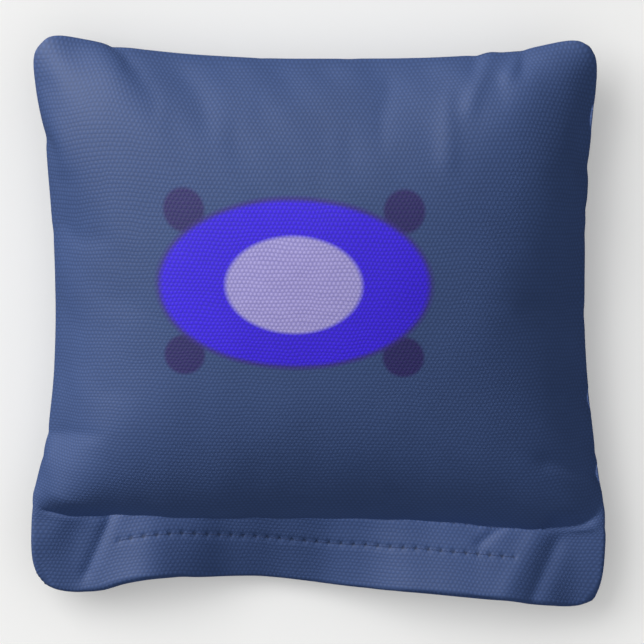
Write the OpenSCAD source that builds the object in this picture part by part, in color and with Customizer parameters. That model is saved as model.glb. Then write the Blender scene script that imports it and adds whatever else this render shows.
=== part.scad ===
// Square juggling bean bag: two canvas panels sewn on three sides, turned, filled with loose
// kernels and closed by a flat flange that is topstitched with two rows.
// The bag lies on its back. +Z points out of the printed front, +Y points from the closing flange
// to the top seam, and the origin is under the middle of the bag on the surface that it rests on.

/* [Bag] */
// Width over the corners, before they are rounded
bag_width = 151.5; // [130:0.5:170]
// Length from the flange's folded edge to the top seam, before the corners are rounded
bag_length = 150.5; // [130:0.5:170]
// How far the middle of each side seam is drawn in from the corners
side_draw = 5.5; // [2:0.5:8]
// How far the middle of the top seam is drawn in from the corners
top_draw = 5; // [2:0.5:8]
// How far the middle of the flange's folded edge is drawn in from the corners
hem_draw = 3; // [1:0.5:6]
// Radius of the rounded corners
corner_radius = 9; // [5:1:14]

/* [Filling] */
// Height of the seam above the surface that the bag rests on
seam_height = 17.5; // [12:0.5:24]
// Height of the crown above the seam
crown_height = 24.5; // [16:0.5:30]
// Depth that the belly would have below the seam if nothing flattened it
belly_depth = 23; // [18:0.5:30]
// Gap between the kernels' outer surface and the canvas
fill_gap = 0.3; // [0.2:0.1:1]

/* [Canvas] */
// Thickness of the cotton duck
canvas_thickness = 0.8; // [0.5:0.1:1]
// Width of the allowance turned inside along the side and top seams
seam_allowance = 12.7; // [8:0.1:16]
// Gap between layers of canvas that lie on each other
layer_gap = 0.04; // [0.02:0.01:0.1]

/* [Closing flange] */
// Depth of the flange, from its folded edge to the crease
flange_depth = 15.5; // [12:0.5:20]
// How far the flange's folded edge hangs below the seam
flange_droop = 7; // [0:0.5:9]
// Depth of canvas turned in along the flange's folded edge
hem_depth = 17.5; // [14:0.5:20]

/* [Stitching] */
// Diameter of the sewing thread
thread_diameter = 0.5; // [0.3:0.05:0.7]
// Length of one stitch
stitch_length = 3.3; // [2.5:0.1:5]
// Distance of the lower closing row from the flange's folded edge
lower_row_inset = 9.5; // [7:0.5:11]
// Distance of the upper closing row from the flange's folded edge
upper_row_inset = 14.8; // [13:0.1:15]
// Distance of the outer seam row from the seam's folded edge
outer_row_inset = 1.8; // [1.6:0.1:2.4]
// Distance of the inner seam row from the seam's folded edge
inner_row_inset = 4.6; // [4:0.1:7]
// Length of the two closing rows, which stop short of the corners
closing_row_length = 106; // [90:1:140]

/* [Hidden] */

canvas_colour = "#43557F";
thread_colour = "#35456D";
kernel_colour = "#C9A24A";

// Stack of canvas at the closure: each panel has an outer layer and a turned-in layer.
inner_layer = (canvas_thickness + layer_gap) / 2;
outer_layer = 3 * inner_layer;
fold_radius = inner_layer;
stack_half = outer_layer + canvas_thickness / 2;

// The cloth's middle surface stops short of the overall size by the fold and half a thickness.
edge_x = bag_width / 2 - fold_radius - canvas_thickness / 2;
edge_y = bag_length / 2 - fold_radius - canvas_thickness / 2;
crease_y = -edge_y + flange_depth;
body_middle_y = (edge_y + crease_y) / 2;
body_half = (edge_y - crease_y) / 2;

// Rise of the front panel and fall of the back panel from the closure, to the cloth's middle.
front_rise = crown_height - stack_half;
back_fall = belly_depth - stack_half;

// How full and how steep the swelling is, and how sharply the drawn-in edges and corners turn.
swell_fullness = 2.2;
swell_power = 0.55;
side_draw_power = 2.5;
end_draw_power = 2.2;
corner_power = 24;
hem_corner_power = 6;
corner_cut = corner_radius * (1 - sqrt(0.5));

// Grid of one panel: columns across, rows along the flange and along the body, and the extra
// rows of a fold, of a turned-in allowance and of the turned-in hem.
columns = 28;
flange_rows = 4;
body_rows = 24;
fold_rows = 2;
allowance_rows = 2;
hem_rows = 5;
side_extra = fold_rows + allowance_rows;
hem_extra = fold_rows + hem_rows;
visible_rows = flange_rows + body_rows;
// Cells left out of the allowances beside each corner, where the cloth is clipped.
corner_clip = 2;
crease_clip = 3;
mitre_gap = 0.5;

// ---- Shape of the filled bag ----
// u runs from -1 to 1 across the bag. b runs from -2 at the flange's folded edge to -1 at the
// crease, and on to 1 at the top seam.

function body_part(b) = max(b, -1);
function flange_part(b) = max(0, -1 - b);

function row_y(b) = b > -1 ? body_middle_y + b * body_half : crease_y - flange_part(b) * flange_depth;

function draw(t, power) = 1 - pow(abs(t), power);

function corner_share(u, b) =
    pow(abs(u), corner_power) *
    max(pow(max(0, b), corner_power), pow(flange_part(b), hem_corner_power));

function place(u, b) =
    let (
        w = body_part(b),
        cut = corner_cut * corner_share(u, b),
        half_width = edge_x - side_draw * draw(w, side_draw_power),
        end_draw = w < 0 ? hem_draw : -top_draw
    )
    [
        u * half_width - sign(u) * cut,
        row_y(b) + end_draw * draw(u, end_draw_power) * w * w - (b > 0 ? cut : -cut)
    ];

function closure_height(b) = seam_height - flange_droop * flange_part(b);

function swell(u, b) =
    b <= -1 ? 0 : pow(max(0, draw(u, swell_fullness) * draw(b, swell_fullness)), swell_power);

// Height of a panel's middle surface. side is 1 for the front and -1 for the back.
function cloth_height(u, b, side) =
    side > 0
        ? closure_height(b) + outer_layer + front_rise * swell(u, b)
        : max(canvas_thickness / 2, closure_height(b) - outer_layer - back_fall * swell(u, b));

// The row that lies a given distance inside the flange's folded edge.
function row_at_depth(depth) =
    depth < flange_depth ? -2 + depth / flange_depth : -1 + (depth - flange_depth) / body_half;

// ---- One panel as a sheet with thickness ----

function column_u(i) = -cos(180 * i / columns);
function row_b(j) = j < flange_rows ? -2 + j / flange_rows : -cos(180 * (j - flange_rows) / body_rows);

function steps_outside(k, last) = k < 0 ? -k : max(0, k - last);
function fold_angle(k) = 90 - 180 * min(k, fold_rows) / fold_rows;
function turned_depth(k, rows, depth) = k > fold_rows ? depth * (k - fold_rows) / rows : 0;

// A point k steps round the fold and into the allowance from a visible edge at [x, y].
function turned_point(edge, outward, k, rows, depth, height, side) =
    let (
        angle = fold_angle(k),
        reach = fold_radius * cos(angle) - turned_depth(k, rows, depth),
        layer = inner_layer + fold_radius * (1 + sin(angle))
    )
    [edge.x + reach * outward.x, edge.y + reach * outward.y, height + side * layer];

// The turned-in hem follows the flange's slope, so it is placed by its own row.
function hem_point(u, k, side) =
    let (
        angle = fold_angle(k),
        b = row_at_depth(turned_depth(k, hem_rows, hem_depth)),
        at = place(u, b),
        layer = inner_layer + fold_radius * (1 + sin(angle))
    )
    [at.x, at.y - fold_radius * cos(angle), closure_height(b) + side * layer];

function sheet_point(i, j, side) =
    let (
        u = column_u(min(max(i, 0), columns)),
        b = row_b(min(max(j, 0), visible_rows)),
        across = steps_outside(i, columns),
        along = steps_outside(j, visible_rows),
        edge = place(u, b)
    )
    j < 0 ? hem_point(u, along, side) :
    along > 0 ? turned_point(
        edge, [0, 1], along, allowance_rows,
        min(seam_allowance, (1 - abs(u)) * edge_x - mitre_gap), closure_height(b), side) :
    across > 0 ? turned_point(
        edge, [sign(u), 0], across, allowance_rows,
        min(seam_allowance, (1 - b) * body_half - mitre_gap), closure_height(b), side) :
    [edge.x, edge.y, cloth_height(u, b, side)];

// Which cells of the grid the cut panel has.
function in_columns(i, clip) = i >= clip && i < columns - clip;
function has_cell(i, j) =
    j < -hem_extra || j >= visible_rows + side_extra || i < -side_extra || i >= columns + side_extra ? false :
    j < 0 ? in_columns(i, 0) :
    j >= visible_rows ? in_columns(i, corner_clip) :
    in_columns(i, 0) ? true :
    j >= flange_rows + crease_clip && j < visible_rows - corner_clip;

function has_node(i, j) =
    has_cell(i, j) || has_cell(i - 1, j) || has_cell(i, j - 1) || has_cell(i - 1, j - 1);

// Each face winds clockwise as it is seen from outside. The "top" layer of points is the printed or
// outer side of the cloth, the "low" layer is its wrong side, and walls close the cut edges.
module sheet(side) {
    first_i = -side_extra;
    first_j = -hem_extra;
    last_i = columns + side_extra;
    last_j = visible_rows + side_extra;
    row_size = last_i - first_i + 1;
    middle = [for (j = [first_j:last_j]) [for (i = [first_i:last_i]) sheet_point(i, j, side)]];
    layer_size = row_size * (last_j - first_j + 1);

    function at(i, j) = middle[j - first_j][i - first_i];
    function near(i, j, di, dj) = has_node(i + di, j + dj) ? at(i + di, j + dj) : at(i, j);
    function normal(i, j) =
        let (n = cross(near(i, j, 1, 0) - near(i, j, -1, 0), near(i, j, 0, 1) - near(i, j, 0, -1)))
        n / norm(n);
    function faced(i, j, way) =
        has_node(i, j) ? at(i, j) + way * canvas_thickness / 2 * normal(i, j) : at(i, j);
    function top(i, j) = (j - first_j) * row_size + i - first_i;
    function low(i, j) = layer_size + top(i, j);
    function turn(face) = side > 0 ? face : [face[2], face[1], face[0]];
    function quad(a, b, c, d) = [turn([a, b, c]), turn([a, c, d])];

    cells = [for (j = [first_j:last_j - 1], i = [first_i:last_i - 1]) if (has_cell(i, j)) [i, j]];
    faces = [
        for (c = cells)
            let (i = c[0], j = c[1])
            each concat(
                quad(top(i, j), top(i, j + 1), top(i + 1, j + 1), top(i + 1, j)),
                quad(low(i, j), low(i + 1, j), low(i + 1, j + 1), low(i, j + 1)),
                has_cell(i, j - 1) ? [] : quad(top(i, j), top(i + 1, j), low(i + 1, j), low(i, j)),
                has_cell(i + 1, j) ? [] :
                    quad(top(i + 1, j), top(i + 1, j + 1), low(i + 1, j + 1), low(i + 1, j)),
                has_cell(i, j + 1) ? [] :
                    quad(top(i + 1, j + 1), top(i, j + 1), low(i, j + 1), low(i + 1, j + 1)),
                has_cell(i - 1, j) ? [] : quad(top(i, j + 1), top(i, j), low(i, j), low(i, j + 1))
            )
    ];
    points = [
        for (way = [side, -side], j = [first_j:last_j], i = [first_i:last_i]) faced(i, j, way)
    ];
    polyhedron(points = points, faces = faces);
}

module front_panel() {
    color(canvas_colour) sheet(1);
}

module back_panel() {
    color(canvas_colour) sheet(-1);
}

// ---- Filling ----
// One closed solid for the mass of loose kernels, with a groove round it for the allowances.

fill_cells = 20;
fill_reach = 0.94;
// The groove has room for the two allowances and the thread on each.
groove_half = 2 * inner_layer + thread_diameter + layer_gap;
groove_cells = 3;

module bean_fill() {
    cloth_inset = canvas_thickness / 2 + fill_gap;
    per_row = fill_cells + 1;
    per_layer = per_row * per_row;

    function reach(k) = -fill_reach * cos(180 * k / fill_cells);
    function index(layer, i, j) = layer * per_layer + j * per_row + i;
    function in_core(i, j) =
        i >= groove_cells && i < fill_cells - groove_cells &&
        j >= groove_cells && j < fill_cells - groove_cells;
    function in_fill(i, j) = i >= 0 && i < fill_cells && j >= 0 && j < fill_cells;
    function facing_up(layer, i, j) = [
        [index(layer, i, j), index(layer, i, j + 1), index(layer, i + 1, j + 1)],
        [index(layer, i, j), index(layer, i + 1, j + 1), index(layer, i + 1, j)]
    ];
    function flip(faces) = [for (f = faces) [f[2], f[1], f[0]]];
    // Walls below an upward layer, on the sides of cell [i, j] whose neighbour is outside.
    function wall(a, b, upper, lower) = [
        [index(upper, a[0], a[1]), index(upper, b[0], b[1]), index(lower, b[0], b[1])],
        [index(upper, a[0], a[1]), index(lower, b[0], b[1]), index(lower, a[0], a[1])]
    ];
    function walls(i, j, upper, lower, south, east, north, west) = concat(
        south ? wall([i, j], [i + 1, j], upper, lower) : [],
        east ? wall([i + 1, j], [i + 1, j + 1], upper, lower) : [],
        north ? wall([i + 1, j + 1], [i, j + 1], upper, lower) : [],
        west ? wall([i, j + 1], [i, j], upper, lower) : []
    );
    function rim(i, j, upper, lower) = walls(
        i, j, upper, lower,
        !in_fill(i, j - 1), !in_fill(i + 1, j), !in_fill(i, j + 1), !in_fill(i - 1, j));
    function core(i, j) = walls(
        i, j, 1, 2,
        !in_core(i, j - 1), !in_core(i + 1, j), !in_core(i, j + 1), !in_core(i - 1, j));

    heights = [
        function (u, b) cloth_height(u, b, 1) - cloth_inset,
        function (u, b) seam_height + groove_half,
        function (u, b) seam_height - groove_half,
        function (u, b) cloth_height(u, b, -1) + cloth_inset
    ];
    points = [
        for (layer = [0:3], j = [0:fill_cells], i = [0:fill_cells])
            let (u = reach(i), b = reach(j), at = place(u, b)) [at.x, at.y, heights[layer](u, b)]
    ];
    faces = [
        for (j = [0:fill_cells - 1], i = [0:fill_cells - 1])
            each concat(
                facing_up(0, i, j),
                flip(facing_up(3, i, j)),
                in_core(i, j) ? core(i, j) : concat(flip(facing_up(1, i, j)), facing_up(2, i, j)),
                rim(i, j, 0, 1),
                rim(i, j, 2, 3)
            )
    ];
    color(kernel_colour) polyhedron(points = points, faces = faces);
}

// ---- Threads ----

// A round tube through a list of points, with flat ends.
module tube(path, sides) {
    last = len(path) - 1;
    radius = thread_diameter / 2;
    rings = [
        for (k = [0:last])
            let (
                ahead = path[min(k + 1, last)] - path[max(k - 1, 0)],
                along = ahead / norm(ahead),
                across = cross([0, 0, 1], along) / norm(cross([0, 0, 1], along)),
                up = cross(along, across)
            )
            for (s = [0:sides - 1])
                let (angle = 360 * s / sides)
                path[k] + radius * (cos(angle) * across + sin(angle) * up)
    ];
    skin = [
        for (k = [0:last - 1], s = [0:sides - 1])
            let (a = k * sides + s, b = k * sides + (s + 1) % sides)
            each [[a, a + sides, b + sides], [a, b + sides, b]]
    ];
    start_cap = [for (s = [1:sides - 2]) [0, s, s + 1]];
    end_cap = [for (s = [1:sides - 2]) [last * sides, last * sides + s + 1, last * sides + s]];
    polyhedron(points = rings, faces = concat(skin, start_cap, end_cap));
}

// One thread of a closing row: stitches that lie on the flange and dip to it at every hole.
module closing_thread(inset, side) {
    b = row_at_depth(inset);
    run_reach = closing_row_length / 2 / edge_x;
    stitches = floor(closing_row_length / stitch_length);
    clear_height = stack_half + layer_gap + thread_diameter / 2;
    stitch_rise = 0.2;
    path = [
        for (k = [0:3 * stitches])
            let (
                u = run_reach * (2 * k / (3 * stitches) - 1),
                at = place(u, b),
                lift = k % 3 == 0 ? 0 : stitch_rise
            )
            [at.x, at.y, closure_height(b) + side * (clear_height + lift)]
    ];
    color(thread_colour) tube(path, 5);
}

// One thread of a seam row: it lies on the allowance, up one side, over the top and down again.
module seam_thread(inset, side) {
    e = 1 - inset / edge_x;
    bend = 0.1;
    side_points = 9;
    top_points = 11;
    bend_points = 4;
    start_b = -0.93;
    height = seam_height + side * (2 * inner_layer + layer_gap + thread_diameter / 2);
    half_route = concat(
        [for (k = [0:side_points - 1]) [e, start_b + (e - bend - start_b) * k / side_points]],
        [
            for (k = [0:bend_points])
                let (angle = 90 * k / bend_points)
                [e - bend + bend * cos(angle), e - bend + bend * sin(angle)]
        ],
        [for (k = [1:top_points]) [(e - bend) * (1 - k / top_points), e]]
    );
    last = len(half_route) - 1;
    route = concat(half_route, [for (k = [1:last]) [-half_route[last - k][0], half_route[last - k][1]]]);
    path = [for (r = route) let (at = place(r[0], r[1])) [at.x, at.y, height]];
    color(thread_colour) tube(path, 6);
}

module closing_upper_needle_thread() {
    closing_thread(upper_row_inset, 1);
}

module closing_upper_bobbin_thread() {
    closing_thread(upper_row_inset, -1);
}

module closing_lower_needle_thread() {
    closing_thread(lower_row_inset, 1);
}

module closing_lower_bobbin_thread() {
    closing_thread(lower_row_inset, -1);
}

module seam_outer_needle_thread() {
    seam_thread(outer_row_inset, 1);
}

module seam_outer_bobbin_thread() {
    seam_thread(outer_row_inset, -1);
}

module seam_inner_needle_thread() {
    seam_thread(inner_row_inset, 1);
}

module seam_inner_bobbin_thread() {
    seam_thread(inner_row_inset, -1);
}

front_panel();
back_panel();
bean_fill();
closing_upper_needle_thread();
closing_upper_bobbin_thread();
closing_lower_needle_thread();
closing_lower_bobbin_thread();
seam_outer_needle_thread();
seam_outer_bobbin_thread();
seam_inner_needle_thread();
seam_inner_bobbin_thread();
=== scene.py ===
"""Square canvas juggling bean bag: two cotton duck panels, sewn, turned, filled and topstitched.

The bag lies on its back. +Z points out of the printed front, and +Y points from the closing flange
to the top seam. Shapes are worked out in millimetres and given to Blender in metres.
"""
import logging
import math
from dataclasses import dataclass, replace
from enum import Enum

import bpy
import numpy as np
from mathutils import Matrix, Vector
from mathutils.kdtree import KDTree


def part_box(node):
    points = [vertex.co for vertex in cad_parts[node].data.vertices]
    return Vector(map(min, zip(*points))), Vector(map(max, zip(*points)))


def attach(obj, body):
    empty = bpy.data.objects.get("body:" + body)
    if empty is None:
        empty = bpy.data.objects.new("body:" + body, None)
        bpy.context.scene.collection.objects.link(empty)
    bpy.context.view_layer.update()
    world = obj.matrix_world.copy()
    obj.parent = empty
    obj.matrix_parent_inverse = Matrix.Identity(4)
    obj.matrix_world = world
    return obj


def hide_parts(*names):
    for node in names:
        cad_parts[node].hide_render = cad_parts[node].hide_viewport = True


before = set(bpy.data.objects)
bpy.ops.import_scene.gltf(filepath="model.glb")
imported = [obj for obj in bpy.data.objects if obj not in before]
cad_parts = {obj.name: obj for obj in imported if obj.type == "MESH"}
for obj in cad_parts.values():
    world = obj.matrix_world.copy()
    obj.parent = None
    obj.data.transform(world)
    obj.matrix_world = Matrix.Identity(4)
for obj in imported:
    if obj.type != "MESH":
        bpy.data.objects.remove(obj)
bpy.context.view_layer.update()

LOG = logging.getLogger("bean_bag")
MM = 0.001
BODY = "root"
CUT_MAP = "cut_cloth"
CUT_MAP_SPAN = 250.0
FILLING = "maize_filling"
SHARP_ANGLE = math.radians(70)
TINY = 1e-9


class Side(Enum):
    """The two halves of the bag. The value is the sign of the outward direction."""

    FRONT = 1
    BACK = -1

    @property
    def thread(self) -> str:
        """Which of a lockstitch's two threads lies on this side."""
        return "needle" if self is Side.FRONT else "bobbin"


class Slot(Enum):
    """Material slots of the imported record."""

    CANVAS = "canvas"
    THREAD = "thread"
    KERNELS = "kernels"


# ---- Small tools for grids of points ----


def unit(vectors: np.ndarray) -> np.ndarray:
    """Returns the vectors scaled to length 1 along their last axis."""
    return vectors / np.maximum(np.linalg.norm(vectors, axis=-1, keepdims=True), TINY)


def bell(distance: np.ndarray, width: float) -> np.ndarray:
    """Returns a smooth bump of height 1 that fades over the given width."""
    return np.exp(-((distance / width) ** 2))


def eased(share: np.ndarray) -> np.ndarray:
    """Returns a smooth step from 0 to 1 for shares from 0 to 1."""
    t = np.clip(share, 0.0, 1.0)
    return t * t * (3.0 - 2.0 * t)


def smoothed(values: np.ndarray, spread: float, axis: int = 0) -> np.ndarray:
    """Blurs values along one axis.

    Args:
        values: Any array of numbers.
        spread: Standard deviation of the blur, in cells.
        axis: The axis to blur along.

    Returns:
        An array of the same shape, with its ends held.
    """
    deviations = 3
    reach = max(1, int(math.ceil(deviations * spread)))
    offsets = np.arange(-reach, reach + 1)
    weights = np.exp(-0.5 * (offsets / spread) ** 2)
    weights /= weights.sum()
    moved = np.moveaxis(values, axis, 0)
    padded = np.concatenate([moved[:1].repeat(reach, 0), moved, moved[-1:].repeat(reach, 0)])
    total = sum(w * padded[k:k + len(moved)] for k, w in enumerate(weights))
    return np.moveaxis(total, 0, axis)


def grid_normals(points: np.ndarray) -> np.ndarray:
    """Returns unit normals of a grid of points, toward +Z where its axes run along +X and +Y."""
    return unit(np.cross(np.gradient(points, axis=0), np.gradient(points, axis=1)))


def spline_weights(count: int, at: np.ndarray) -> np.ndarray:
    """Weights of a cubic B-spline over evenly spaced control points.

    Args:
        count: Number of control points.
        at: Places to sample, from 0 to 1 along the control points.

    Returns:
        A matrix that turns the control points into the sampled points. The curve starts and ends
        on the first and last control point.
    """
    place = np.clip(at, 0.0, 1.0) * (count - 1)
    first = np.minimum(place.astype(int), count - 2)
    t = place - first
    basis = np.stack([
        (1 - t) ** 3,
        3 * t ** 3 - 6 * t ** 2 + 4,
        -3 * t ** 3 + 3 * t ** 2 + 3 * t + 1,
        t ** 3,
    ], axis=1) / 6.0
    weights = np.zeros((len(at), count + 2))
    rows = np.arange(len(at))
    for k in range(4):
        weights[rows, first + k] += basis[:, k]
    inner = weights[:, 1:-1].copy()
    inner[:, 0] += 2 * weights[:, 0]
    inner[:, 1] -= weights[:, 0]
    inner[:, -1] += 2 * weights[:, -1]
    inner[:, -2] -= weights[:, -1]
    return inner


# ---- Sizes ----


@dataclass(frozen=True)
class Cut:
    """Sizes, in mm, that the canvas panels are cut and sewn to, and how finely they are meshed."""

    width: float = 152.4
    body_length: float = 135.4
    flange_depth: float = 19.4
    seam_allowance: float = 12.7
    corner_radius: float = 9.0
    corner_power: float = 24.0
    thickness: float = 0.72
    layer_gap: float = 0.12
    roll: float = 0.6
    stitches_across: int = 46
    columns_per_stitch: int = 5
    flange_rows: int = 29
    body_rows: int = 132
    lower_row: int = 16
    upper_row: int = 28
    row_reach: float = 52.5

    @property
    def columns(self) -> int:
        """Cells across the panel."""
        return self.stitches_across * self.columns_per_stitch

    @property
    def rows(self) -> int:
        """Cells along the visible panel, from the flange's folded edge to the top seam."""
        return self.flange_rows + self.body_rows

    @property
    def stitch(self) -> float:
        """Length of one stitch."""
        return self.width / self.stitches_across

    @property
    def inner_layer(self) -> float:
        """Distance of a turned-in layer from the closure's middle plane."""
        return (self.thickness + self.layer_gap) / 2

    def round_corner(self, u: np.ndarray, w: np.ndarray) -> np.ndarray:
        """Returns how far points of the cut panel are pulled in, both ways, to round its corners."""
        cut = self.corner_radius * (1 - math.sqrt(0.5))
        return cut * np.abs(u) ** self.corner_power * np.maximum(w, 0.0) ** self.corner_power


@dataclass(frozen=True)
class EdgeLine:
    """One edge of the filled bag in plan: how far out it lies, in mm, at its ends and middle."""

    start: float
    middle: float
    end: float
    start_power: float
    end_power: float
    limit: float = 100.0

    def at(self, t: np.ndarray) -> np.ndarray:
        """Finds the edge's place.

        Args:
            t: Places along the edge, from -1 at its start to 1 at its end.

        Returns:
            How far out the edge lies at each place, in mm.
        """
        reach = np.where(t < 0, self.start - self.middle, self.end - self.middle)
        power = np.where(t < 0, self.start_power, self.end_power)
        return np.clip(self.middle + reach * np.abs(t) ** power, -self.limit, self.limit)


@dataclass(frozen=True)
class Profile:
    """A value that changes along the crease, given in mm or degrees at stations across the bag."""

    stations: tuple[float, ...]
    values: tuple[float, ...]

    def at(self, x: np.ndarray, spread: float) -> np.ndarray:
        """Returns the values at places across the bag, blurred by a number of columns."""
        return smoothed(np.interp(x, self.stations, self.values), spread)


@dataclass(frozen=True)
class Outline:
    """Plan outline of the filled bag, drawn in between its corners by the filling."""

    left: EdgeLine = EdgeLine(-76.4, -68.3, -75.4, 2.0, 2.1, 74.3)
    right: EdgeLine = EdgeLine(76.9, 70.1, 74.2, 1.5, 2.4, 75.6)
    top: EdgeLine = EdgeLine(76.2, 68.9, 75.2, 2.2, 3.4)
    crease: Profile = Profile(
        (-76, -64, -58, -52, -44, -36, -26, -16, -6, 4, 14, 26, 42, 56, 66, 76),
        (-50.9, -51.3, -50.7, -49.0, -47.9, -47.0, -47.4, -48.0, -48.9, -49.6, -50.1, -51.3, -53.0,
         -54.0, -54.9, -55.4))
    rim: float = 0.8
    corner_share: float = 0.9
    hold: float = 3.0
    ripple_spread: float = 5.0
    crease_reach: float = 0.3


@dataclass(frozen=True)
class Sag:
    """How far, in mm, the filling hangs over the crease."""

    amount: Profile = Profile(
        (-76, -58, -52, -44, -36, -26, -16, -6, 4, 14, 26, 42, 50, 76),
        (0.0, 0.2, 0.9, 4.0, 5.3, 5.2, 4.7, 4.0, 3.5, 3.1, 1.9, 0.4, 0.0, 0.0))
    rise: float = 10.0
    spread: float = 5.0

    def at(self, x: np.ndarray, distance: np.ndarray) -> np.ndarray:
        """Returns the sag toward -Y at places across, for distances from the crease on the cloth."""
        share = np.maximum(distance, 0.0) / self.rise
        return self.amount.at(x, self.spread)[:, None] * share * np.exp(1.0 - share)


@dataclass(frozen=True)
class DogEar:
    """An empty lower corner of the body, pressed flat below a fold that slants up to the side."""

    end: int
    inner: float
    inner_height: float
    outer_height: float
    ramp: float = 10.0
    flat_share: float = 0.2
    fade_share: float = 0.25

    def keep(self, x: np.ndarray, height: np.ndarray, half_width: float) -> np.ndarray:
        """Returns the share of the filled thickness that is left at points of the cut cloth.

        Args:
            x: Places across the cut cloth, in mm.
            height: Heights above the crease on the cut cloth, in mm.
            half_width: Half the width of the cut cloth.

        Returns:
            Shares from `flat_share` to 1.
        """
        share = (x * self.end - self.inner) / (half_width - self.inner)
        fold = self.inner_height + (self.outer_height - self.inner_height) * share
        full = eased((height - fold) / self.ramp)
        mixed = 1.0 - eased(share / self.fade_share) * (1.0 - full)
        return self.flat_share + (1.0 - self.flat_share) * mixed


@dataclass(frozen=True)
class Iron:
    """Eases the wrinkles of the swelled panels, apart from the shape across the seams."""

    spread: float = 2.4
    share: float = 0.62
    edge_power: float = 10.0

    def ease(self, grid: np.ndarray) -> np.ndarray:
        """Blurs a panel, less and less toward its seams.

        Args:
            grid: The panel's grid of points.

        Returns:
            The grid with smaller wrinkles.
        """
        for axis in (0, 1):
            place = np.abs(np.linspace(-1.0, 1.0, grid.shape[axis]))
            amount = self.share * (1.0 - place ** self.edge_power)
            amount = amount[:, None, None] if axis == 0 else amount[None, :, None]
            grid = grid + (smoothed(grid, self.spread, axis) - grid) * amount
        return grid


@dataclass(frozen=True)
class Fold:
    """A ridge, or a valley where height is negative, along a line in cut millimetres."""

    start: tuple[float, float]
    end: tuple[float, float]
    width: float
    height: float
    end_fade: float = 1.5

    def lift(self, x: np.ndarray, y: np.ndarray) -> np.ndarray:
        """Works out the fold's height.

        Args:
            x: Places across the cut cloth, in mm.
            y: Places up the cut cloth, in mm.

        Returns:
            The height that the fold adds at each point, in mm.
        """
        ax, ay = self.start
        dx, dy = self.end[0] - ax, self.end[1] - ay
        length = math.hypot(dx, dy)
        along = ((x - ax) * dx + (y - ay) * dy) / length ** 2
        across = ((y - ay) * dx - (x - ax) * dy) / length
        beyond = np.maximum(0.0, np.maximum(-along, along - 1.0)) * length
        return self.height * bell(across, self.width) * bell(beyond, self.end_fade * self.width)


# ---- Cloth simulation of the filled bag ----


CANVAS_CLOTH = {
    "quality": 12,
    "mass": 0.3,
    "tension_stiffness": 300.0,
    "compression_stiffness": 300.0,
    "shear_stiffness": 20.0,
    "bending_stiffness": 6.0,
    "tension_damping": 5.0,
    "compression_damping": 5.0,
    "shear_damping": 5.0,
    "bending_damping": 0.5,
    "air_damping": 1.0,
    "use_pressure": True,
    "uniform_pressure_force": 14.0,
}


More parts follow.
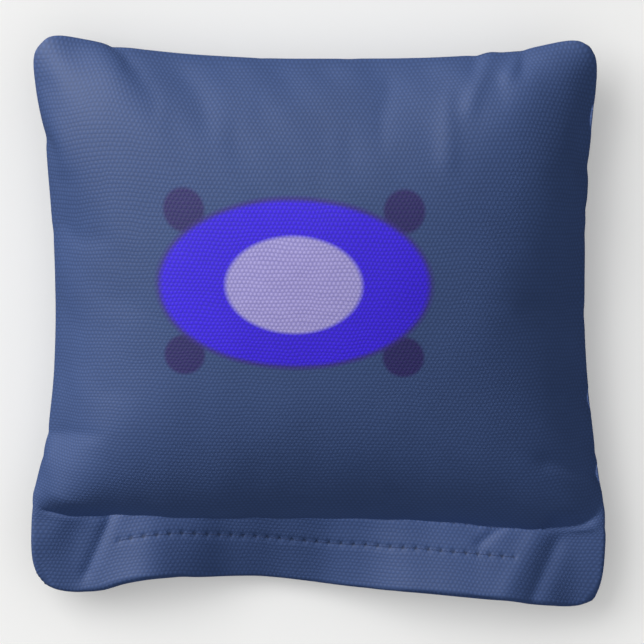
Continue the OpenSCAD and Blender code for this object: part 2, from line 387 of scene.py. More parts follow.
@dataclass(frozen=True)
class Inflation:
    """Two flat panels, joined along their seams, swelled on the floor by the filling's pressure."""

    cut: Cut
    cells: int = 72
    quick_cells: int = 36
    frames: int = 70
    scale: float = 10.0
    start_height: float = 16.0
    cross_ripple: float = 0.4
    slant_ripple: float = 0.3
    flange_cells: int = 8
    floor_gap: float = 0.02
    contact_gap: float = 0.004
    seed: int = 1

    def run(self) -> dict[Side, np.ndarray]:
        """Builds the joined panels, swells them and reads their grids back.

        Returns:
            Each panel's grid of points in mm, from the crease to the top.
        """
        n = self.cells
        jf = self.flange_cells * n // self.cells
        nb = n - jf
        rng = np.random.default_rng(self.seed)
        phases = rng.uniform(0.0, 2 * math.pi, 3)
        unit_mm = self.scale * MM
        floor_gap = self.floor_gap * self.scale
        index: dict[tuple[Side | None, int, int], int] = {}
        flat: list[tuple[float, float, float]] = []
        start: list[tuple[float, float, float]] = []

        def node(layer: Side, i: int, j: int) -> int:
            """Finds a grid node, which both panels share on the seams, and makes it if it is new.

            Args:
                layer: The panel.
                i: Column of the grid.
                j: Row of the grid.

            Returns:
                The node's index.
            """
            shared = i in (0, n) or j == n or j <= jf
            key = (None if shared else layer, i, j)
            if key not in index:
                u = 2 * i / n - 1
                w = max(-1.0, 2 * (j - jf) / nb - 1)
                pull = float(self.cut.round_corner(np.array(abs(u)), np.array(w)))
                x = u * self.cut.width / 2 - math.copysign(pull, u)
                y = w * self.cut.body_length / 2 - pull
                if j < jf:
                    y -= (jf - j) * self.cut.body_length / nb
                dome = 0.0 if shared else math.sqrt(max(0.0, (1 - u * u) * (1 - w * w)))
                height = self.start_height * dome * layer.value
                height += (self.cross_ripple * math.sin(x * 0.21 + phases[0])
                           * math.sin(y * 0.17 + phases[1]))
                height += self.slant_ripple * math.sin(x * 0.47 + phases[2] + y * 0.33)
                index[key] = len(flat)
                flat.append((x * unit_mm, y * unit_mm, floor_gap))
                start.append((x * unit_mm, y * unit_mm, floor_gap + height * unit_mm))
            return index[key]

        faces = []
        for i in range(n):
            for j in range(n):
                faces.append([node(Side.FRONT, i, j), node(Side.FRONT, i + 1, j),
                              node(Side.FRONT, i + 1, j + 1), node(Side.FRONT, i, j + 1)])
                if j >= jf:
                    faces.append([node(Side.BACK, i, j), node(Side.BACK, i, j + 1),
                                  node(Side.BACK, i + 1, j + 1), node(Side.BACK, i + 1, j)])
        pressed = [v for key, v in index.items() if not (key[0] is None and key[2] < jf)]
        points = self.simulate(start, flat, faces, pressed) / unit_mm

        return {
            side: points[np.array([[node(side, i, j) for j in range(jf, n + 1)]
                                   for i in range(n + 1)])]
            for side in Side
        }

    def simulate(self, start: list[tuple[float, float, float]],
                 flat: list[tuple[float, float, float]], faces: list[list[int]],
                 pressed: list[int]) -> np.ndarray:
        """Steps Blender's cloth with pressure and returns the points where it comes to rest.

        Args:
            start: Points of the slightly swollen bag, in scaled metres.
            flat: The same points on the flat cut cloth, which is the shape without stretch.
            faces: Faces of both panels.
            pressed: Indices of the points that the filling presses on.

        Returns:
            The settled points, in scaled metres.
        """
        scene = bpy.context.scene
        mesh = bpy.data.meshes.new("swelling")
        mesh.from_pydata(start, [], faces)
        bag = bpy.data.objects.new("swelling", mesh)
        scene.collection.objects.link(bag)
        bag.shape_key_add(name="start")
        bag.shape_key_add(name="flat").data.foreach_set("co", np.array(flat).ravel())
        bag.vertex_groups.new(name="press").add(pressed, 1.0, "REPLACE")
        half = 3.0
        floor_mesh = bpy.data.meshes.new("swelling_floor")
        corners = [(-half, -half, 0), (half, -half, 0), (half, half, 0), (-half, half, 0)]
        floor_mesh.from_pydata(corners, [], [(0, 1, 2, 3)])
        floor = bpy.data.objects.new("swelling_floor", floor_mesh)
        scene.collection.objects.link(floor)
        floor.modifiers.new("floor", "COLLISION")
        floor.collision.thickness_outer = self.contact_gap
        floor.collision.cloth_friction = 5
        cloth = bag.modifiers.new("cloth", "CLOTH")
        for label, value in CANVAS_CLOTH.items():
            setattr(cloth.settings, label, value)
        cloth.settings.rest_shape_key = mesh.shape_keys.key_blocks["flat"]
        cloth.settings.vertex_group_pressure = "press"
        cloth.collision_settings.use_collision = True
        cloth.collision_settings.distance_min = self.contact_gap
        cloth.collision_settings.collision_quality = 3
        frames = self.frames
        cloth.point_cache.frame_end = frames + 1
        for step in range(1, frames + 1):
            scene.frame_set(step)
        settled = bag.evaluated_get(bpy.context.evaluated_depsgraph_get()).to_mesh()
        points = np.zeros(len(settled.vertices) * 3)
        settled.vertices.foreach_get("co", points)
        scene.frame_set(1)
        for made in (bag, floor):
            data = made.data
            bpy.data.objects.remove(made)
            bpy.data.meshes.remove(data)
        return points.reshape(-1, 3)


# ---- The bag's form ----


@dataclass(frozen=True)
class Flange:
    """How the closing flange slopes down from the crease, and how its ends are shaped."""

    slope: Profile = Profile(
        (-76, -64, -58, -52, -44, -36, -26, -16, -6, 4, 14, 26, 42, 56, 66, 76),
        (6, 6, 2, -10, -16, -6, 12, 20, 20, 14, 4, -12, -16, -12, 2, 8))
    spread: float = 5.0
    flare_left: float = 0.04
    flare_right: float = -0.05
    corner_radius_left: float = 13.0
    corner_radius_right: float = 9.0


class BagForm:
    """The closed bag as a pair of sheets without thickness that meet at the seams and the flange.

    `closure` holds both sheets, `lift` the direction from the back to the front at every point,
    and `normals` the outward directions.
    """

    def __init__(self, cut: Cut, outline: Outline, sag: Sag, flange: Flange,
                 ears: tuple[DogEar, ...]) -> None:
        """Stores the sizes and lays out the cut cloth. Call `build` next.

        Args:
            cut: Sizes of the cut panels.
            outline: Plan outline of the filled bag.
            sag: How the filling hangs over the crease.
            flange: Shape of the closing flange.
            ears: The flat lower corners of the body.
        """
        self.cut = cut
        self.outline = outline
        self.sag = sag
        self.flange = flange
        self.ears = ears
        self.iron = Iron()
        self.lift = np.zeros((0, 0, 3))
        self.closure: dict[Side, np.ndarray] = {}
        self.normals: dict[Side, np.ndarray] = {}
        self.outer: dict[Side, np.ndarray] = {}
        columns = np.linspace(-1.0, 1.0, cut.columns + 1)
        body = self.body_places()
        self.u = columns
        self.w = body
        pull = cut.round_corner(columns[:, None], body[None, :])
        self.cut_x = np.zeros((cut.columns + 1, cut.rows + 1))
        self.cut_y = np.zeros_like(self.cut_x)
        self.cut_x[:] = columns[:, None] * cut.width / 2
        self.cut_x[:, cut.flange_rows:] -= np.sign(columns)[:, None] * pull
        self.cut_y[:, cut.flange_rows:] = (body[None, :] + 1) * cut.body_length / 2 - pull
        depth = np.linspace(-cut.flange_depth, 0.0, cut.flange_rows + 1)
        self.cut_y[:, :cut.flange_rows + 1] = depth[None, :]

    def body_places(self) -> np.ndarray:
        """Spaces the rows of the body, closer together at both ends.

        Returns:
            Row places from -1 at the crease to 1 at the top.
        """
        even = np.linspace(-1.0, 1.0, self.cut.body_rows + 1)
        crowding = 0.13
        return even + crowding * np.sin(math.pi * even) / math.pi * 2

    def build(self, swelled: dict[Side, np.ndarray], folds: tuple[Fold, ...]) -> None:
        """Makes the full sheets from the swelled panels.

        Args:
            swelled: Grids of the swelled panels, from the crease to the top.
            folds: Folds of the flange, which shift both panels together.
        """
        cut = self.cut
        count_across, count_along = swelled[Side.FRONT].shape[:2]
        across = spline_weights(count_across, (self.u + 1) / 2)
        along = spline_weights(count_along, (self.w + 1) / 2)
        sheets = {
            side: np.einsum("ai,bj,ijc->abc", across, along, self.iron.ease(grid))
            for side, grid in swelled.items()
        }
        stack = 2 * (3 * cut.inner_layer + cut.thickness / 2)
        low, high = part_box("back_panel")[0].z / MM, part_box("front_panel")[1].z / MM
        floor = sheets[Side.BACK][..., 2].min()
        rise = sheets[Side.FRONT][..., 2].max() - floor
        scale = (high - low - stack) / rise
        for grid in sheets.values():
            grid[..., 2] = low + stack / 2 + (grid[..., 2] - floor) * scale
        self.fit_outline(sheets)
        hung = self.hang_flange(sheets[Side.FRONT][:, 0])
        front_sheet, back_sheet = sheets[Side.FRONT], sheets[Side.BACK]
        keep = np.ones(front_sheet.shape[:2])
        for ear in self.ears:
            keep *= ear.keep(self.cut_x[:, cut.flange_rows:], self.cut_y[:, cut.flange_rows:],
                             cut.width / 2)
        middle = (front_sheet + back_sheet) / 2
        for sheet in (front_sheet, back_sheet):
            sheet[:] = middle + (sheet - middle) * keep[..., None]
        front_sheet[..., 1] -= self.sag.at(front_sheet[:, 0, 0], self.cut_y[:, cut.flange_rows:])
        for side in Side:
            self.closure[side] = self.joined(hung, sheets[side])
        self.fold_flange(folds)
        self.offset_layers()

    def joined(self, hung: np.ndarray, body: np.ndarray) -> np.ndarray:
        """Joins the flange to one body sheet, without a kink in the dog ears.

        Args:
            hung: Grid of the flange, up to the crease.
            body: Grid of the body, from the crease.

        Returns:
            Both as one grid.
        """
        sheet = np.concatenate([hung, body[:, 1:]], axis=1)
        from_crease = np.abs(np.arange(sheet.shape[1]) - self.cut.flange_rows)
        ear_start, ear_fade, rows_reached, spread = 58.0, 8.0, 6.0, 2.2
        in_ear = eased((np.abs(self.cut_x[:, self.cut.flange_rows]) - ear_start) / ear_fade)[:, None]
        near = in_ear * bell(from_crease, rows_reached)[None, :]
        return sheet + (smoothed(sheet, spread, 1) - sheet) * near[..., None]

    def fit_outline(self, sheets: dict[Side, np.ndarray]) -> None:
        """Moves both sheets so that their seams follow the outline, fading out inward.

        Args:
            sheets: Grids of the body's two sheets, which are changed in place.
        """
        line, seam = self.outline, sheets[Side.FRONT]
        inner_rows = np.clip(self.w, -1.0, line.corner_share)
        inner_columns = np.clip(self.u, -line.corner_share, line.corner_share)
        near_crease = bell(self.w + 1, line.crease_reach)

        def held(places: np.ndarray, kept: np.ndarray, values: np.ndarray) -> np.ndarray:
            """Returns the values with those past the kept range held, and then blurred."""
            return smoothed(np.interp(kept, places, values), line.ripple_spread)

        def side_move(values: np.ndarray) -> np.ndarray:
            """Returns a side's move, which is exact at the crease and blurred further up."""
            blurred = held(self.w, inner_rows, values)
            return blurred + (smoothed(values, 1.0) - blurred) * near_crease

        left = side_move(line.left.at(self.w) + line.rim - seam[0, :, 0])
        right = side_move(line.right.at(self.w) - line.rim - seam[-1, :, 0])
        top = held(self.u, inner_columns, line.top.at(self.u) - line.rim - seam[:, -1, 1])
        crease = line.crease.at(self.cut_x[:, self.cut.flange_rows], 2.0) - seam[:, 0, 1]
        s = (self.u[:, None] + 1) / 2
        t = (self.w[None, :] + 1) / 2
        for grid in sheets.values():
            grid[..., 0] += left[None, :] * (1 - s) ** line.hold + right[None, :] * s ** line.hold
            grid[..., 1] += crease[:, None] * (1 - t) ** line.hold + top[:, None] * t ** line.hold

    def hang_flange(self, crease: np.ndarray) -> np.ndarray:
        """Hangs the flange from the crease, at its slopes.

        Args:
            crease: Points along the crease.

        Returns:
            The flange's grid, from its folded edge up to the crease.
        """
        cut, flange = self.cut, self.flange
        step = cut.flange_depth / cut.flange_rows
        depth = (np.arange(cut.flange_rows) + 0.5) * step
        slope = np.radians(flange.slope.at(crease[:, 0], flange.spread))[:, None]
        slope = np.repeat(slope, len(depth), axis=1)
        out = np.zeros(slope.shape + (3,))
        flare = np.where(self.u < 0, flange.flare_left, flange.flare_right)
        out[..., 0] = (self.u * flare)[:, None]
        out[..., 1] = -np.cos(slope)
        out[..., 2] = -np.sin(slope)
        fallen = crease[:, None] + np.cumsum(out * step, axis=1)
        sheet = np.concatenate([crease[:, None], fallen], axis=1)[:, ::-1]
        clearance = 0.3
        lowest = 3 * cut.inner_layer + cut.thickness / 2 + clearance
        sheet[..., 2] = np.maximum(sheet[..., 2], lowest)
        return self.round_flange(sheet)

    def round_flange(self, sheet: np.ndarray) -> np.ndarray:
        """Rounds the flange's two lower corners, in the sheet and in the cut coordinates.

        Args:
            sheet: The flange's grid.

        Returns:
            The same grid with round corners.
        """
        flange, cut = self.flange, self.cut
        share = np.linspace(1.0, 0.0, cut.flange_rows + 1)[None, :]
        for end, radius in ((-1, flange.corner_radius_left), (1, flange.corner_radius_right)):
            pull = radius * (1 - math.sqrt(0.5))
            near = np.maximum(self.u * end, 0.0)[:, None]
            amount = pull * near ** cut.corner_power * share ** 4
            sheet[..., 0] -= end * amount
            sheet[..., 1] += amount
            self.cut_x[:, :cut.flange_rows + 1] -= end * amount
            self.cut_y[:, :cut.flange_rows + 1] += amount
        return sheet

    def fold_flange(self, folds: tuple[Fold, ...]) -> None:
        """Adds the folds that shift both panels together on and beside the flange.

        Args:
            folds: The folds, in cut millimetres.
        """
        rows = self.cut.flange_rows
        sheet = self.closure[Side.FRONT]
        spread, body_fade = 3.0, 3.0
        up = smoothed(smoothed(grid_normals(sheet[:, :rows + 1]), spread, 0), spread, 1)
        height = sum(f.lift(self.cut_x, self.cut_y) for f in folds)
        fade = np.ones(self.cut.rows + 1)
        fade[rows:] = bell(self.cut_y[0, rows:], body_fade)
        shift = np.zeros_like(sheet)
        shift[:, :rows + 1] = up * height[:, :rows + 1, None]
        faded = height[:, rows:rows + 1] * fade[None, rows + 1:]
        shift[:, rows + 1:] = up[:, -1:] * faded[..., None]
        for side in Side:
            self.closure[side] = self.closure[side] + shift

    def offset_layers(self) -> None:
        """Works out the directions that the layers of cloth are stacked along."""
        spread = 2.2
        for side in Side:
            raw = side.value * grid_normals(self.closure[side])
            self.normals[side] = unit(smoothed(smoothed(raw, spread, 0), spread, 1))
        front, back = self.normals[Side.FRONT], self.normals[Side.BACK]
        self.lift = unit(smoothed(smoothed(front - back, spread, 0), spread, 1))
        inner = self.cut.inner_layer
        for side in Side:
            self.outer[side] = (
                self.closure[side]
                + 2 * inner * side.value * self.lift
                + inner * self.normals[side]
                + side.value * self.cut.roll * self.outward_field()
            )

    def outward_field(self) -> np.ndarray:
        """Works out which way is outward in plan, by the seams alone.

        Returns:
            Horizontal directions at every point, which fade to nothing away from the seams.
        """
        cut, reach = self.cut, 2.5
        from_side = (1.0 - np.abs(self.u)) * cut.width / 2
        from_top = np.concatenate([np.full(cut.flange_rows, cut.body_length),
                                   (1.0 - self.w) * cut.body_length / 2])
        field = np.zeros_like(self.closure[Side.FRONT])
        field[..., 0] = (np.sign(self.u) * bell(from_side, reach))[:, None]
        field[..., 1] = bell(from_top, reach)[None, :]
        return field

    def perimeter(self) -> tuple[np.ndarray, np.ndarray]:
        """Walks round the edge, anticlockwise.

        Returns:
            The grid indices of each edge point, and the outward direction at each.
        """
        last_i, last_j = self.cut.columns, self.cut.rows
        ring = [(i, 0) for i in range(last_i)]
        ring += [(last_i, j) for j in range(last_j)]
        ring += [(i, last_j) for i in range(last_i, 0, -1)]
        ring += [(0, j) for j in range(last_j, 0, -1)]
        order = np.array(ring)
        points = self.closure[Side.FRONT][order[:, 0], order[:, 1]]
        lift = self.lift[order[:, 0], order[:, 1]]
        wrap, spread = 4, 1.2
        around = np.concatenate([points[-wrap:], points, points[:wrap]])
        tangent = smoothed(np.gradient(around, axis=0), spread)[wrap:-wrap]
        return order, unit(np.cross(tangent, lift))


# ---- Canvas panels ----


@dataclass
class CanvasPanel:
    """One canvas panel: its visible face, the edges it is folded at and the allowances turned in."""

    form: BagForm
    side: Side
    name: str
    fold_cells: int = 4
    allowance_cells: int = 3
    hem_step: int = 4
    corner_clip: int = 7
    crease_clip: int = 8
    outer_share: float = 0.52
    hole_depth: float = 0.6
    groove_depth: float = 0.16
    groove_reach: float = 0.9
    row_fade: float = 1.0
    hole_reach: float = 0.6
    mitre_gap: float = 1.0
    least_allowance: float = 0.2
    flat_area: float = 0.0

    def build(self, folds: tuple[Fold, ...]) -> bpy.types.Object:
        """Makes the panel's mesh object.

        Args:
            folds: Folds and wrinkles of this panel alone.

        Returns:
            The panel, whose flat area is then in `flat_area`, in square mm.
        """
        cut, form = self.form.cut, self.form
        face = form.outer[self.side].copy()
        face += self.shaping(folds)[..., None] * form.normals[self.side]
        form.outer[self.side] = face
        extra = self.fold_cells + self.allowance_cells
        hem = self.fold_cells + math.ceil(cut.flange_rows / self.hem_step)
        size = (cut.columns + 1 + 2 * extra, cut.rows + 1 + hem + extra)
        middle = np.zeros(size + (3,))
        cut_xy = np.zeros(size + (2,))
        centre = (slice(extra, extra + cut.columns + 1), slice(hem, hem + cut.rows + 1))
        middle[centre] = face
        cut_xy[centre] = np.stack([form.cut_x, form.cut_y], axis=-1)
        self.turn_edges(middle, cut_xy, extra, hem)
        cells = self.cells(size, extra, hem)
        self.flat_area = self.area_of(cut_xy, cells)
        return sheet_object(self.name, middle, cells, cut_xy, cut.thickness, self.outer_share,
                            self.side is Side.BACK)

    def shaping(self, folds: tuple[Fold, ...]) -> np.ndarray:
        """Works out the small shapes pressed into the face: stitch rows and folds.

        Args:
            folds: Folds and wrinkles of this panel alone.

        Returns:
            The height that they add at each point, in mm.
        """
        cut, form = self.form.cut, self.form
        lift = np.zeros_like(form.cut_x)
        run = bell(np.maximum(0.0, np.abs(form.cut_x) - cut.row_reach), self.row_fade)
        columns = np.arange(cut.columns + 1)
        holes = np.where(columns % cut.columns_per_stitch == 0, 1.0, 0.0)[:, None]
        for row in (cut.lower_row, cut.upper_row):
            place = form.cut_y[:, row:row + 1]
            lift -= self.groove_depth * bell(form.cut_y - place, self.groove_reach) * run
            lift -= self.hole_depth * holes * bell(form.cut_y - place, self.hole_reach) * run
        for fold in folds:
            lift += fold.lift(form.cut_x, form.cut_y)
        return lift

    def turn_edges(self, middle: np.ndarray, cut_xy: np.ndarray, extra: int, hem: int) -> None:
        """Fills in the folded edges, the turned-in allowances and the hem.

        Args:
            middle: Grid of the cloth's middle surface, whose centre is filled already.
            cut_xy: The same grid on the flat cut cloth.
            extra: Cells outside the left, right and top edges.
            hem: Cells outside the flange's folded edge.
        """
        cut, form, sign = self.form.cut, self.form, self.side.value
        order, outward = form.perimeter()
        inner = cut.inner_layer
        for (i, j), out in zip(order, outward):
            seam = form.closure[self.side][i, j]
            lift = sign * form.lift[i, j]
            normal = form.normals[self.side][i, j]
            lean = math.atan2(float(normal @ out), float(normal @ lift))
            first = math.pi / 2 - lean
            moves = [step for step, on in (
                ((-1, 0), i == 0), ((1, 0), i == cut.columns),
                ((0, -1), j == 0), ((0, 1), j == cut.rows)) if on]
            for di, dj in moves:
                reach = self.turned_depth(i, j, dj)
                span = hem if dj < 0 else extra
                for k in range(1, span + 1):
                    angle = first - (first + math.pi / 2) * min(k, self.fold_cells) / self.fold_cells
                    arc = inner * (first - angle)
                    depth = reach * max(0, k - self.fold_cells) / self.allowance_cells
                    at = seam + 2 * inner * lift
                    at = at + inner * (math.cos(angle) * out + math.sin(angle) * lift)
                    at = at + (sign * cut.roll * (dj >= 0) - depth) * out
                    if dj < 0 and k > self.fold_cells:
                        row = min(cut.flange_rows, (k - self.fold_cells) * self.hem_step)
                        at = form.closure[self.side][i, row] + inner * sign * form.lift[i, row]
                        depth = cut.flange_depth * row / cut.flange_rows
                    spot = (extra + i + k * di, hem + j + k * dj)
                    middle[spot] = at
                    cut_xy[spot] = (
                        form.cut_x[i, j] + di * (arc + depth),
                        form.cut_y[i, j] + dj * (arc + depth),
                    )

    def turned_depth(self, i: int, j: int, along: int) -> float:
        """Works out the allowance's depth at an edge point, mitred toward the corners.

        Args:
            i: Column of the point.
            j: Row of the point.
            along: 1 on the top edge, 0 on a side edge.

        Returns:
            The depth in mm.
        """
        cut, form = self.form.cut, self.form
        if along > 0:
            corner = (1 - abs(form.u[i])) * cut.width / 2
        else:
            place = form.w[max(0, j - cut.flange_rows)]
            corner = (1 - abs(place)) * cut.body_length / 2
        return max(self.least_allowance, min(cut.seam_allowance, corner - self.mitre_gap))

    def cells(self, size: tuple[int, int], extra: int, hem: int) -> np.ndarray:
        """Works out which cells of the extended grid the cut cloth has.

        Args:
            size: Points of the grid, both ways.
            extra: Cells outside the left, right and top edges.
            hem: Cells outside the flange's folded edge.

        Returns:
            True for each cell with cloth in it.
        """
        cut = self.form.cut
        has = np.zeros((size[0] - 1, size[1] - 1), bool)
        left, right = extra, extra + cut.columns
        low, high = hem, hem + cut.rows
        has[left:right, low:high] = True
        has[left + 1:right - 1, :low - self.fold_cells] = True
        has[left:right, low - self.fold_cells:low] = True
        has[left:right, high:high + self.fold_cells] = True
        has[left + self.corner_clip:right - self.corner_clip, high:] = True
        has[left - self.fold_cells:right + self.fold_cells, low:high] = True
        first = low + cut.flange_rows + self.crease_clip
        has[:, first:high - self.corner_clip] = True
        return has

    @staticmethod
    def area_of(cut_xy: np.ndarray, cells: np.ndarray) -> float:
        """Measures the cut cloth.

        Args:
            cut_xy: Place of each point on the flat cut cloth, in mm.
            cells: Which cells there is cloth in.

        Returns:
            The flat area in square mm.
        """
        one = cut_xy[1:, 1:] - cut_xy[:-1, :-1]
        two = cut_xy[:-1, 1:] - cut_xy[1:, :-1]
        areas = np.abs(one[..., 0] * two[..., 1] - one[..., 1] * two[..., 0]) / 2
        return float(areas[cells].sum())


def sheet_object(name: str, middle: np.ndarray, cells: np.ndarray, cut_xy: np.ndarray,
                 thickness: float, outer_share: float, facing_down: bool) -> bpy.types.Object:
    """Makes a closed cloth mesh from a grid of its middle surface.

    Args:
        name: Name of the object.
        middle: Grid of points in mm.
        cells: Which cells of the grid there is cloth in.
        cut_xy: Place of each point on the flat cut cloth, in mm.
        thickness: Thickness of the cloth in mm.
        outer_share: Share of the thickness that lies outside the middle surface.
        facing_down: Whether the outer side faces -Z.

    Returns:
        The object, linked to the scene, with a UV map of the cut cloth.
    """
    normal = np.zeros_like(middle)
    face = np.cross(middle[1:, 1:] - middle[:-1, :-1], middle[:-1, 1:] - middle[1:, :-1])
    face[~cells] = 0.0
    used = np.zeros(middle.shape[:2], bool)
    count = middle.shape
    for di in (0, 1):
        for dj in (0, 1):
            spot = (slice(di, count[0] - 1 + di), slice(dj, count[1] - 1 + dj))
            normal[spot] += face
            used[spot] |= cells
    normal = unit(normal) * (-1 if facing_down else 1)
    number = np.full(used.shape, -1)
    number[used] = np.arange(used.sum())
    above = middle[used] + normal[used] * thickness * outer_share
    below = middle[used] - normal[used] * thickness * (1 - outer_share)
    total = int(used.sum())
    a, b = number[:-1, :-1][cells], number[1:, :-1][cells]
    c, d = number[1:, 1:][cells], number[:-1, 1:][cells]
    quads = [np.stack([a, b, c, d], 1), np.stack([d, c, b, a], 1) + total]
    ringed = np.pad(cells, 1)
    inside = ringed[1:-1, 1:-1]
    for di, dj, p, q in ((0, -1, a, b), (1, 0, b, c), (0, 1, c, d), (-1, 0, d, a)):
        beside = ringed[1 + di:ringed.shape[0] - 1 + di, 1 + dj:ringed.shape[1] - 1 + dj]
        open_edge = (inside & ~beside)[cells]
        p, q = p[open_edge], q[open_edge]
        quads.append(np.stack([q, p, p + total, q + total], 1))
    faces = np.concatenate(quads)
    if facing_down:
        faces = faces[:, ::-1]
    points = np.concatenate([above, below]) * MM
    made = mesh_object(name, points, faces)
    places = np.concatenate([cut_xy[used]] * 2) / CUT_MAP_SPAN + 0.5
    layer = made.data.uv_layers.new(name=CUT_MAP)
    layer.data.foreach_set("uv", places[faces.ravel()].ravel())
    return made


def mesh_object(name: str, points: np.ndarray, faces: np.ndarray) -> bpy.types.Object:
    """Makes a smooth-shaded mesh object and links it to the scene.

    Args:
        name: Name of the object.
        points: Points in metres.
        faces: Indices of each face's points.

    Returns:
        The object.
    """
    mesh = bpy.data.meshes.new(name)
    mesh.from_pydata(points.tolist(), [], faces.tolist())
    mesh.polygons.foreach_set("use_smooth", [True] * len(mesh.polygons))
    mesh.set_sharp_from_angle(angle=SHARP_ANGLE)
    mesh.update()
    made = bpy.data.objects.new(name, mesh)
    bpy.context.scene.collection.objects.link(made)
    return made


# ---- Threads ----


@dataclass(frozen=True)
class Thread:
    """A sewing thread of plies twisted round each other, in mm."""

    diameter: float = 0.42
    plies: int = 2
    twist_pitch: float = 1.9
    ply_overlap: float = 1.15
    sides: int = 6

    def along(self, name: str, path: np.ndarray) -> bpy.types.Object:
        """Makes the thread along a path of points in mm.

        Args:
            name: Name of the piece.
            path: Points along the thread's middle, a fraction of the twist apart.

        Returns:
            The thread as one object.
        """
        tangent = unit(np.gradient(path, axis=0))
        across = unit(np.cross(np.array([0.0, 0.0, 1.0]), tangent))
        up = np.cross(tangent, across)
        travelled = np.concatenate([[0.0], np.cumsum(np.linalg.norm(np.diff(path, axis=0), axis=1))])
        ply_radius = self.diameter / 4 * self.ply_overlap if self.plies > 1 else self.diameter / 2
        offset = self.diameter / 2 - ply_radius
        points, faces = [], []
        for ply in range(self.plies):
            turn = 2 * math.pi * (travelled / self.twist_pitch + ply / self.plies)
            centre = path + offset * (np.cos(turn)[:, None] * across + np.sin(turn)[:, None] * up)
            start = ply * len(path) * self.sides
            for side in range(self.sides):
                around = 2 * math.pi * side / self.sides
                ring = centre + ply_radius * (math.cos(around) * across + math.sin(around) * up)
                points.append(ring)
            faces.extend(self.skin(start, len(path)))
        stacked = np.concatenate(points)
        return mesh_object(name, stacked * MM, np.array(faces, dtype=object))

    def skin(self, start: int, count: int) -> list[list[int]]:
        """Makes the faces of one ply, closed at both ends, whose sides are stored one by one.

        Args:
            start: Index of the ply's first point.
            count: Points along each side.

        Returns:
            The faces, as indices of points.
        """
        def at(side: int, k: int) -> int:
            """Returns the index of ring point k on a side."""
            return start + (side % self.sides) * count + k

        faces = [
            [at(s, k), at(s + 1, k), at(s + 1, k + 1), at(s, k + 1)]
            for s in range(self.sides) for k in range(count - 1)
        ]
        faces.append([at(s, 0) for s in reversed(range(self.sides))])
        faces.append([at(s, count - 1) for s in range(self.sides)])
        return faces


@dataclass
class ClosingRow:
    """One row of lockstitches across the flange: a needle thread and a bobbin thread."""

    form: BagForm
    row: int
    label: str
    thread: Thread = Thread()
    first_stitch: int = 7
    sink: float = 0.06
    leg: float = 1.0
    leg_reach: float = 0.34
    steps: int = 14

    def build(self, side: Side) -> bpy.types.Object:
        """Makes the thread of one side.

        Args:
            side: The front has the needle's thread, and the back the bobbin's.

        Returns:
            The thread as one object.
        """
        cut, form = self.form.cut, self.form
        face = form.outer[side][:, self.row]
        normal = form.normals[side][:, self.row]
        stitches = cut.stitches_across - 2 * self.first_stitch
        phase = np.linspace(0.0, stitches, stitches * self.steps + 1)
        column = (phase + self.first_stitch) * cut.columns_per_stitch
        near = np.minimum(column.astype(int), cut.columns - 1)
        share = (column - near)[:, None]
        at = face[near] * (1 - share) + face[near + 1] * share
        out = unit(normal[near] * (1 - share) + normal[near + 1] * share)
        from_hole = np.abs(phase - np.round(phase)) * cut.stitch
        height = cut.thickness / 2 - self.sink - self.leg * bell(from_hole, self.leg_reach)
        return self.thread.along(f"{self.label}_{side.thread}_stitches", at + out * height[:, None])


@dataclass
class SeamRow:
    """One row of stitches inside the bag, through both allowances on three sides."""

    form: BagForm
    inset: float
    label: str
    thread: Thread = Thread(plies=1)
    spacing: float = 1.1
    end_gap: int = 10
    dip: float = 0.125

    def build(self, side: Side) -> bpy.types.Object:
        """Makes the thread that lies on one side's allowance.

        Args:
            side: The panel whose allowance it lies on.

        Returns:
            The thread as one object.
        """
        cut, form = self.form.cut, self.form
        order, outward = form.perimeter()
        first = cut.columns + cut.flange_rows + self.end_gap
        keep = slice(first, len(order) - cut.flange_rows - self.end_gap)
        index = order[keep]
        seam = form.closure[side][index[:, 0], index[:, 1]]
        lift = side.value * form.lift[index[:, 0], index[:, 1]]
        out = unit(smoothed(outward[keep], 6.0))
        level = cut.inner_layer + cut.thickness / 2 + self.thread.diameter / 2
        path = smoothed(seam - out * self.inset, 3.0) + lift * level
        travelled = np.concatenate([[0.0], np.cumsum(np.linalg.norm(np.diff(path, axis=0), axis=1))])
        places = np.arange(0.0, travelled[-1], self.spacing)
        even = np.stack([np.interp(places, travelled, path[:, k]) for k in range(3)], axis=1)
        even[:, 2] -= side.value * self.dip * np.cos(2 * math.pi * (places / cut.stitch))
        return self.thread.along(f"{self.label}_{side.thread}_stitches", even)


# ---- Filling ----


